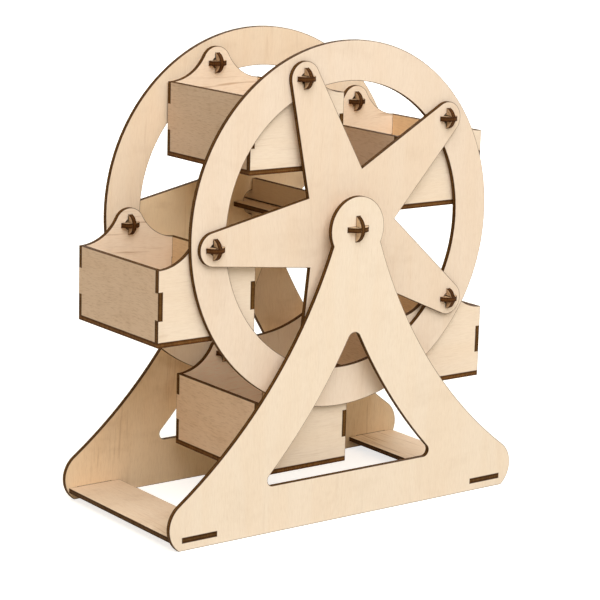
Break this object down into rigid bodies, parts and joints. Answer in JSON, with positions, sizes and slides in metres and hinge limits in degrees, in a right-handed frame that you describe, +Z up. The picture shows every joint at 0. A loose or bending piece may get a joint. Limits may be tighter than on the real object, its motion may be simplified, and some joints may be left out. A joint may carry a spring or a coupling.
{
  "type": "ferris wheel toy",
  "caption": "Tabletop ferris wheel of laser-cut plywood: arched side frames, a double wheel on a fixed crossed-plate axle, and hanging box gondolas.",
  "frame": {"origin": "on the ground, under the middle of the axle", "axes": "+X right along the side frames seen from the front, +Y along the axle from front to rear, +Z up"},
  "size_m": [0.272, 0.135, 0.3],
  "materials": {
    "birch_plywood": "bare sanded birch plywood with laser-browned edges",
    "scorched_plywood": "bare plywood, mostly laser-browned cut edge"
  },
  "bodies": {
    "stand": {"side_frame_front": "birch_plywood", "side_frame_rear": "birch_plywood", "plank_left": "birch_plywood", "plank_right": "birch_plywood", "axle_plate_upright": "scorched_plywood", "axle_plate_level": "scorched_plywood"},
    "wheel": {"ring_front": "birch_plywood", "ring_rear": "birch_plywood", "star_front": "birch_plywood", "star_rear": "birch_plywood"},
    "gondola_1": {"gondola_1_front_end": "birch_plywood", "gondola_1_rear_end": "birch_plywood", "gondola_1_left_side": "birch_plywood", "gondola_1_right_side": "birch_plywood", "gondola_1_floor": "birch_plywood", "pin_1_front_upright": "scorched_plywood", "pin_1_front_level": "scorched_plywood", "pin_1_rear_upright": "scorched_plywood", "pin_1_rear_level": "scorched_plywood"},
    "gondola_2": {"gondola_2_front_end": "birch_plywood", "gondola_2_rear_end": "birch_plywood", "gondola_2_left_side": "birch_plywood", "gondola_2_right_side": "birch_plywood", "gondola_2_floor": "birch_plywood", "pin_2_front_upright": "scorched_plywood", "pin_2_front_level": "scorched_plywood", "pin_2_rear_upright": "scorched_plywood", "pin_2_rear_level": "scorched_plywood"},
    "gondola_3": {"gondola_3_front_end": "birch_plywood", "gondola_3_rear_end": "birch_plywood", "gondola_3_left_side": "birch_plywood", "gondola_3_right_side": "birch_plywood", "gondola_3_floor": "birch_plywood", "pin_3_front_upright": "scorched_plywood", "pin_3_front_level": "scorched_plywood", "pin_3_rear_upright": "scorched_plywood", "pin_3_rear_level": "scorched_plywood"},
    "gondola_4": {"gondola_4_front_end": "birch_plywood", "gondola_4_rear_end": "birch_plywood", "gondola_4_left_side": "birch_plywood", "gondola_4_right_side": "birch_plywood", "gondola_4_floor": "birch_plywood", "pin_4_front_upright": "scorched_plywood", "pin_4_front_level": "scorched_plywood", "pin_4_rear_upright": "scorched_plywood", "pin_4_rear_level": "scorched_plywood"},
    "gondola_5": {"gondola_5_front_end": "birch_plywood", "gondola_5_rear_end": "birch_plywood", "gondola_5_left_side": "birch_plywood", "gondola_5_right_side": "birch_plywood", "gondola_5_floor": "birch_plywood", "pin_5_front_upright": "scorched_plywood", "pin_5_front_level": "scorched_plywood", "pin_5_rear_upright": "scorched_plywood", "pin_5_rear_level": "scorched_plywood"}
  },
  "joints": [
    {"name": "wheel_spin", "type": "hinge", "parent": "stand", "child": "wheel", "pos_m": [0, 0, 0.185], "axis": [0, 1, 0], "continuous": true},
    {"name": "gondola_1_hang", "type": "hinge", "parent": "wheel", "child": "gondola_1", "pos_m": [-0.03584, 0, 0.27836], "axis": [0, 1, 0], "continuous": true},
    {"name": "gondola_2_hang", "type": "hinge", "parent": "wheel", "child": "gondola_2", "pos_m": [-0.09986, 0, 0.17977], "axis": [0, 1, 0], "continuous": true},
    {"name": "gondola_3_hang", "type": "hinge", "parent": "wheel", "child": "gondola_3", "pos_m": [-0.02588, 0, 0.08841], "axis": [0, 1, 0], "continuous": true},
    {"name": "gondola_4_hang", "type": "hinge", "parent": "wheel", "child": "gondola_4", "pos_m": [0.08387, 0, 0.13054], "axis": [0, 1, 0], "continuous": true},
    {"name": "gondola_5_hang", "type": "hinge", "parent": "wheel", "child": "gondola_5", "pos_m": [0.07772, 0, 0.24793], "axis": [0, 1, 0], "continuous": true}
  ],
  "couplings": [
    {"joint": "gondola_1_hang", "follows": "wheel_spin", "ratio": -1},
    {"joint": "gondola_2_hang", "follows": "wheel_spin", "ratio": -1},
    {"joint": "gondola_3_hang", "follows": "wheel_spin", "ratio": -1},
    {"joint": "gondola_4_hang", "follows": "wheel_spin", "ratio": -1},
    {"joint": "gondola_5_hang", "follows": "wheel_spin", "ratio": -1}
  ]
}
